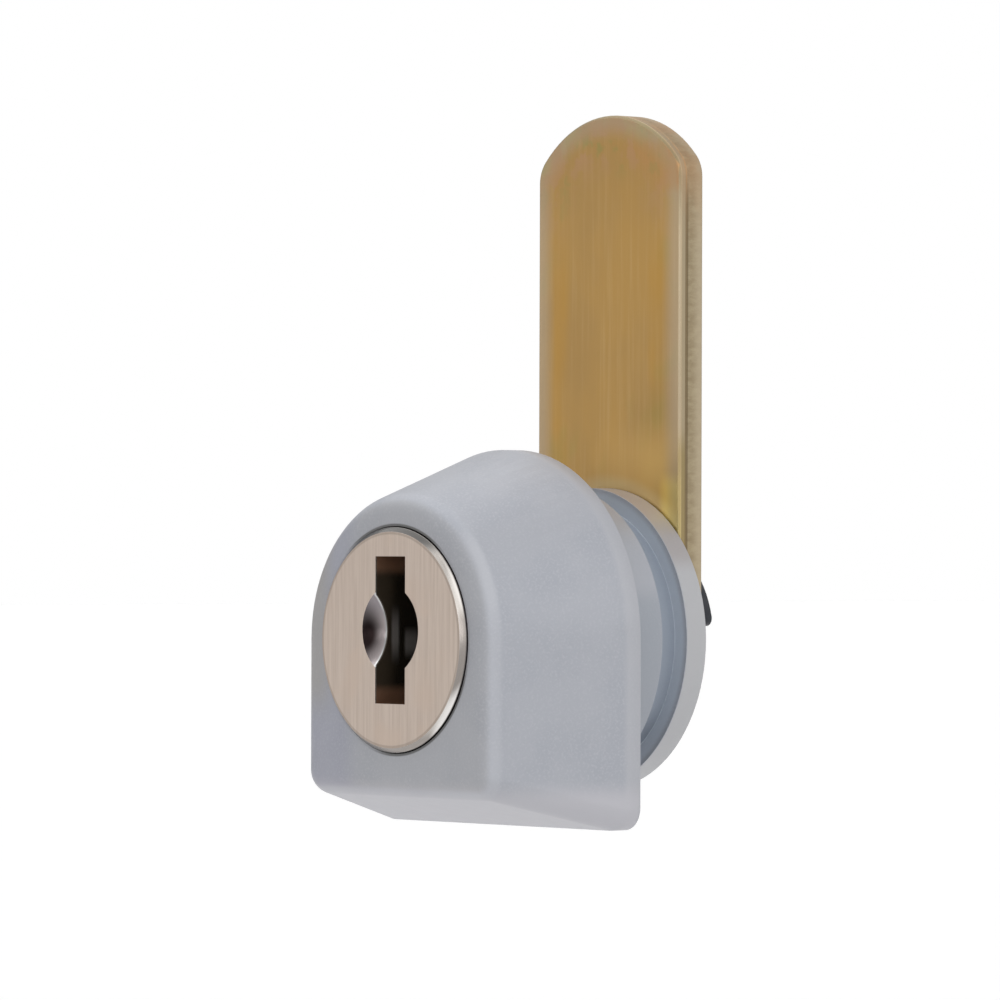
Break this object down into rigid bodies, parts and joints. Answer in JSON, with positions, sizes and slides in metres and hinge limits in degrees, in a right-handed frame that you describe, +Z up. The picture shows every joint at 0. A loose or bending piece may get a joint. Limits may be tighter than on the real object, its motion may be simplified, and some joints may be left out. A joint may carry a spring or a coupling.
{
  "type": "locker lock",
  "caption": "Quarter-turn cam lock for a locker door: D-shaped wedge head, round body, keyed plug and a straight flat cam.",
  "frame": {"origin": "centre of the head's rear face, where the plug's axis meets the door's outer face", "axes": "+Y along the plug's axis into the door, +Z up along the cam, +X to the right seen from the key side"},
  "size_m": [0.0234, 0.0221, 0.0443],
  "materials": {
    "housing_paint": "satin",
    "plug_nickel": "satin",
    "cam_zinc": "satin",
    "dark_steel": "satin",
    "plain_steel": "satin",
    "wafer_brass": "satin",
    "spring_wire": "polished"
  },
  "bodies": {
    "housing": {"housing": "housing_paint"},
    "plug": {"plug": "plug_nickel", "stop_washer": "plain_steel", "cam": "cam_zinc", "spring_washer": "plain_steel", "e_clip": "dark_steel", "wafer_spring_1": "spring_wire", "wafer_spring_2": "spring_wire", "wafer_spring_3": "spring_wire", "wafer_spring_4": "spring_wire", "wafer_spring_5": "spring_wire", "wafer_spring_6": "spring_wire", "wafer_spring_7": "spring_wire"},
    "wafer_1": {"wafer_1": "wafer_brass"},
    "wafer_2": {"wafer_2": "wafer_brass"},
    "wafer_3": {"wafer_3": "wafer_brass"},
    "wafer_4": {"wafer_4": "wafer_brass"},
    "wafer_5": {"wafer_5": "wafer_brass"},
    "wafer_6": {"wafer_6": "wafer_brass"},
    "wafer_7": {"wafer_7": "wafer_brass"}
  },
  "joints": [
    {"name": "plug_turn", "type": "hinge", "parent": "housing", "child": "plug", "pos_m": [0, 0, 0], "axis": [0, 1, 0], "range_deg": [0, 90]},
    {"name": "wafer_1_slide", "type": "slide", "parent": "plug", "child": "wafer_1", "axis": [0, 0, 1], "range_m": [0, 0.0007], "stiffness_N_per_m": 200, "deforming": ["wafer_spring_1"]},
    {"name": "wafer_2_slide", "type": "slide", "parent": "plug", "child": "wafer_2", "axis": [0, 0, -1], "range_m": [0, 0.0007], "stiffness_N_per_m": 200, "deforming": ["wafer_spring_2"]},
    {"name": "wafer_3_slide", "type": "slide", "parent": "plug", "child": "wafer_3", "axis": [0, 0, 1], "range_m": [0, 0.0007], "stiffness_N_per_m": 200, "deforming": ["wafer_spring_3"]},
    {"name": "wafer_4_slide", "type": "slide", "parent": "plug", "child": "wafer_4", "axis": [0, 0, -1], "range_m": [0, 0.0007], "stiffness_N_per_m": 200, "deforming": ["wafer_spring_4"]},
    {"name": "wafer_5_slide", "type": "slide", "parent": "plug", "child": "wafer_5", "axis": [0, 0, 1], "range_m": [0, 0.0007], "stiffness_N_per_m": 200, "deforming": ["wafer_spring_5"]},
    {"name": "wafer_6_slide", "type": "slide", "parent": "plug", "child": "wafer_6", "axis": [0, 0, -1], "range_m": [0, 0.0007], "stiffness_N_per_m": 200, "deforming": ["wafer_spring_6"]},
    {"name": "wafer_7_slide", "type": "slide", "parent": "plug", "child": "wafer_7", "axis": [0, 0, 1], "range_m": [0, 0.0007], "stiffness_N_per_m": 200, "deforming": ["wafer_spring_7"]}
  ],
  "couplings": [
    {"joint": "wafer_2_slide", "follows": "wafer_1_slide", "ratio": 1},
    {"joint": "wafer_3_slide", "follows": "wafer_1_slide", "ratio": 1},
    {"joint": "wafer_4_slide", "follows": "wafer_1_slide", "ratio": 1},
    {"joint": "wafer_5_slide", "follows": "wafer_1_slide", "ratio": 1},
    {"joint": "wafer_6_slide", "follows": "wafer_1_slide", "ratio": 1},
    {"joint": "wafer_7_slide", "follows": "wafer_1_slide", "ratio": 1}
  ]
}
